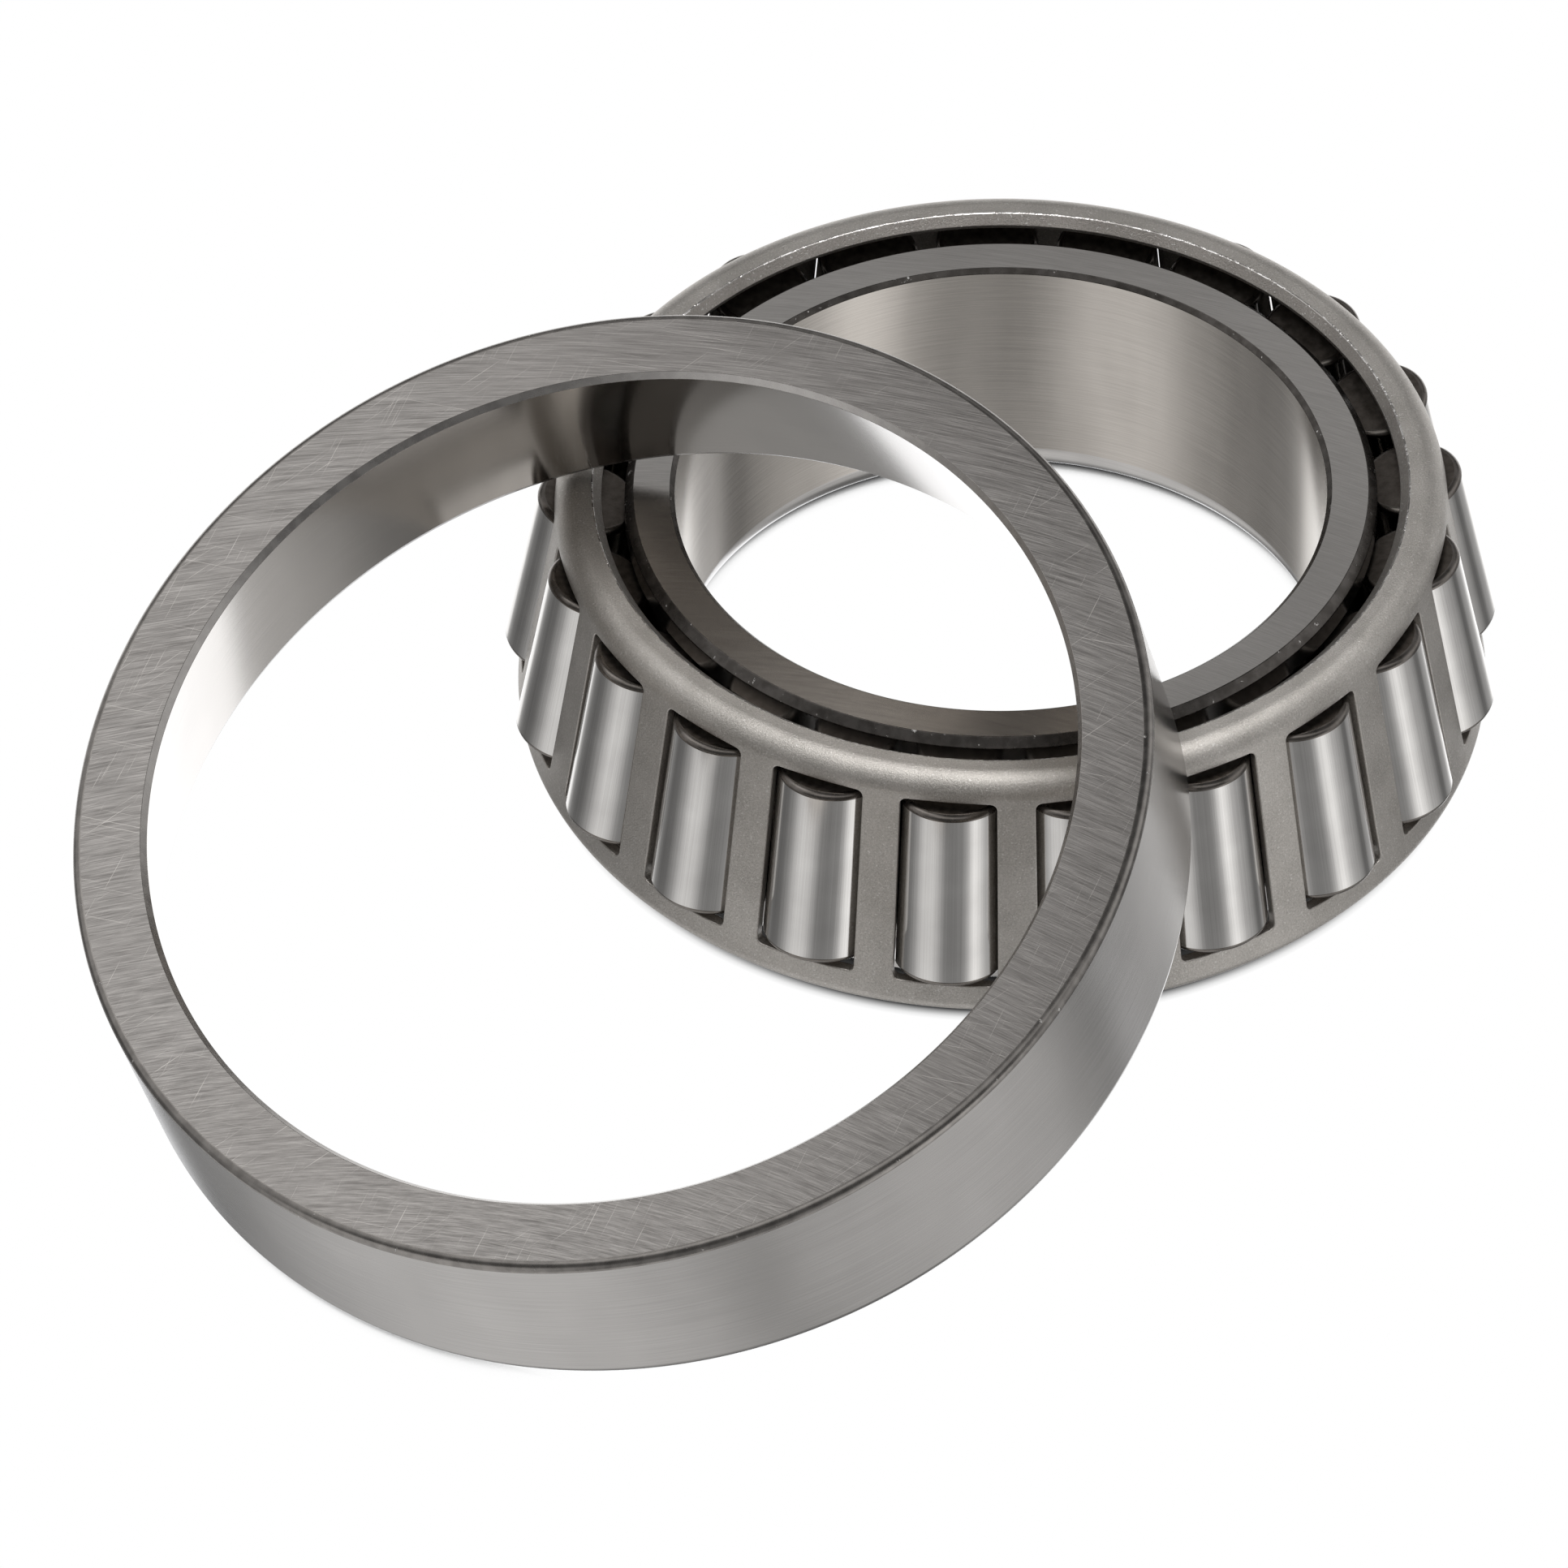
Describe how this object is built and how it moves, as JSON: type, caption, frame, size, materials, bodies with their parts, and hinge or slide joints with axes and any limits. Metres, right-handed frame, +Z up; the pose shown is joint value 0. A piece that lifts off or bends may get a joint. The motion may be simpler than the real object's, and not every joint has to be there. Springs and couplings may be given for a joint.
{
  "type": "tapered roller bearing",
  "caption": "Tapered roller bearing taken apart: the inner ring with its cage and rollers stands flat, and the loose outer ring leans on the cage.",
  "frame": {"origin": "centre of the inner ring's back face, where its axis meets the ground", "axes": "+Z up along the inner ring's axis; the outer ring leans towards -X -Y"},
  "size_m": [0.1076, 0.1186, 0.0422],
  "materials": {
    "ground_steel": "ground",
    "cage_steel": "satin",
    "roller_steel": "polished"
  },
  "bodies": {
    "inner_ring": {"inner_ring": "ground_steel"},
    "cage": {"cage": "cage_steel"},
    "roller_01": {"roller_01": "roller_steel"},
    "roller_02": {"roller_02": "roller_steel"},
    "roller_03": {"roller_03": "roller_steel"},
    "roller_04": {"roller_04": "roller_steel"},
    "roller_05": {"roller_05": "roller_steel"},
    "roller_06": {"roller_06": "roller_steel"},
    "roller_07": {"roller_07": "roller_steel"},
    "roller_08": {"roller_08": "roller_steel"},
    "roller_09": {"roller_09": "roller_steel"},
    "roller_10": {"roller_10": "roller_steel"},
    "roller_11": {"roller_11": "roller_steel"},
    "roller_12": {"roller_12": "roller_steel"},
    "roller_13": {"roller_13": "roller_steel"},
    "roller_14": {"roller_14": "roller_steel"},
    "roller_15": {"roller_15": "roller_steel"},
    "roller_16": {"roller_16": "roller_steel"},
    "roller_17": {"roller_17": "roller_steel"},
    "roller_18": {"roller_18": "roller_steel"},
    "roller_19": {"roller_19": "roller_steel"},
    "roller_20": {"roller_20": "roller_steel"},
    "roller_21": {"roller_21": "roller_steel"},
    "outer_ring": {"outer_ring": "ground_steel"}
  },
  "joints": [
    {"name": "cage_spin", "type": "hinge", "parent": "inner_ring", "child": "cage", "pos_m": [0, 0, 0.012], "axis": [0, 0, 1], "continuous": true},
    {"name": "roller_01_spin", "type": "hinge", "parent": "cage", "child": "roller_01", "pos_m": [-0.00391, -0.03278, 0.01173], "axis": [0.0213, 0.1789, 0.9836], "continuous": true},
    {"name": "roller_02_spin", "type": "hinge", "parent": "cage", "child": "roller_02", "pos_m": [0.00593, -0.03248, 0.01173], "axis": [-0.0324, 0.1773, 0.9836], "continuous": true},
    {"name": "roller_03_spin", "type": "hinge", "parent": "cage", "child": "roller_03", "pos_m": [0.01524, -0.02929, 0.01173], "axis": [-0.0832, 0.1599, 0.9836], "continuous": true},
    {"name": "roller_04_spin", "type": "hinge", "parent": "cage", "child": "roller_04", "pos_m": [0.02319, -0.02349, 0.01173], "axis": [-0.1266, 0.1282, 0.9836], "continuous": true},
    {"name": "roller_05_spin", "type": "hinge", "parent": "cage", "child": "roller_05", "pos_m": [0.02909, -0.01561, 0.01173], "axis": [-0.1588, 0.0852, 0.9836], "continuous": true},
    {"name": "roller_06_spin", "type": "hinge", "parent": "cage", "child": "roller_06", "pos_m": [0.0324, -0.00635, 0.01173], "axis": [-0.1768, 0.0346, 0.9836], "continuous": true},
    {"name": "roller_07_spin", "type": "hinge", "parent": "cage", "child": "roller_07", "pos_m": [0.03283, 0.00348, 0.01173], "axis": [-0.1792, -0.019, 0.9836], "continuous": true},
    {"name": "roller_08_spin", "type": "hinge", "parent": "cage", "child": "roller_08", "pos_m": [0.03034, 0.01301, 0.01173], "axis": [-0.1656, -0.071, 0.9836], "continuous": true},
    {"name": "roller_09_spin", "type": "hinge", "parent": "cage", "child": "roller_09", "pos_m": [0.02516, 0.02137, 0.01173], "axis": [-0.1373, -0.1167, 0.9836], "continuous": true},
    {"name": "roller_10_spin", "type": "hinge", "parent": "cage", "child": "roller_10", "pos_m": [0.01774, 0.02784, 0.01173], "axis": [-0.0969, -0.152, 0.9836], "continuous": true},
    {"name": "roller_11_spin", "type": "hinge", "parent": "cage", "child": "roller_11", "pos_m": [0.00875, 0.03183, 0.01173], "axis": [-0.0478, -0.1738, 0.9836], "continuous": true},
    {"name": "roller_12_spin", "type": "hinge", "parent": "cage", "child": "roller_12", "pos_m": [-0.00102, 0.033, 0.01173], "axis": [0.0056, -0.1801, 0.9836], "continuous": true},
    {"name": "roller_13_spin", "type": "hinge", "parent": "cage", "child": "roller_13", "pos_m": [-0.0107, 0.03123, 0.01173], "axis": [0.0584, -0.1705, 0.9836], "continuous": true},
    {"name": "roller_14_spin", "type": "hinge", "parent": "cage", "child": "roller_14", "pos_m": [-0.01943, 0.02669, 0.01173], "axis": [0.1061, -0.1457, 0.9836], "continuous": true},
    {"name": "roller_15_spin", "type": "hinge", "parent": "cage", "child": "roller_15", "pos_m": [-0.02643, 0.01978, 0.01173], "axis": [0.1443, -0.1079, 0.9836], "continuous": true},
    {"name": "roller_16_spin", "type": "hinge", "parent": "cage", "child": "roller_16", "pos_m": [-0.03109, 0.01111, 0.01173], "axis": [0.1697, -0.0606, 0.9836], "continuous": true},
    {"name": "roller_17_spin", "type": "hinge", "parent": "cage", "child": "roller_17", "pos_m": [-0.03298, 0.00145, 0.01173], "axis": [0.18, -0.0079, 0.9836], "continuous": true},
    {"name": "roller_18_spin", "type": "hinge", "parent": "cage", "child": "roller_18", "pos_m": [-0.03194, -0.00834, 0.01173], "axis": [0.1744, 0.0455, 0.9836], "continuous": true},
    {"name": "roller_19_spin", "type": "hinge", "parent": "cage", "child": "roller_19", "pos_m": [-0.02807, -0.01738, 0.01173], "axis": [0.1532, 0.0949, 0.9836], "continuous": true},
    {"name": "roller_20_spin", "type": "hinge", "parent": "cage", "child": "roller_20", "pos_m": [-0.0217, -0.02488, 0.01173], "axis": [0.1184, 0.1358, 0.9836], "continuous": true},
    {"name": "roller_21_spin", "type": "hinge", "parent": "cage", "child": "roller_21", "pos_m": [-0.0134, -0.03017, 0.01173], "axis": [0.0731, 0.1647, 0.9836], "continuous": true},
    {"name": "outer_ring_tilt", "type": "hinge", "parent": "inner_ring", "child": "outer_ring", "pos_m": [-0.04791, -0.06693, 0.0016], "axis": [0.8131, -0.5821, 0], "range_deg": [0, 70.92]}
  ],
  "couplings": [
    {"joint": "roller_01_spin", "follows": "cage_spin", "ratio": 7.0292},
    {"joint": "roller_02_spin", "follows": "cage_spin", "ratio": 7.0292},
    {"joint": "roller_03_spin", "follows": "cage_spin", "ratio": 7.0292},
    {"joint": "roller_04_spin", "follows": "cage_spin", "ratio": 7.0292},
    {"joint": "roller_05_spin", "follows": "cage_spin", "ratio": 7.0292},
    {"joint": "roller_06_spin", "follows": "cage_spin", "ratio": 7.0292},
    {"joint": "roller_07_spin", "follows": "cage_spin", "ratio": 7.0292},
    {"joint": "roller_08_spin", "follows": "cage_spin", "ratio": 7.0292},
    {"joint": "roller_09_spin", "follows": "cage_spin", "ratio": 7.0292},
    {"joint": "roller_10_spin", "follows": "cage_spin", "ratio": 7.0292},
    {"joint": "roller_11_spin", "follows": "cage_spin", "ratio": 7.0292},
    {"joint": "roller_12_spin", "follows": "cage_spin", "ratio": 7.0292},
    {"joint": "roller_13_spin", "follows": "cage_spin", "ratio": 7.0292},
    {"joint": "roller_14_spin", "follows": "cage_spin", "ratio": 7.0292},
    {"joint": "roller_15_spin", "follows": "cage_spin", "ratio": 7.0292},
    {"joint": "roller_16_spin", "follows": "cage_spin", "ratio": 7.0292},
    {"joint": "roller_17_spin", "follows": "cage_spin", "ratio": 7.0292},
    {"joint": "roller_18_spin", "follows": "cage_spin", "ratio": 7.0292},
    {"joint": "roller_19_spin", "follows": "cage_spin", "ratio": 7.0292},
    {"joint": "roller_20_spin", "follows": "cage_spin", "ratio": 7.0292},
    {"joint": "roller_21_spin", "follows": "cage_spin", "ratio": 7.0292}
  ]
}
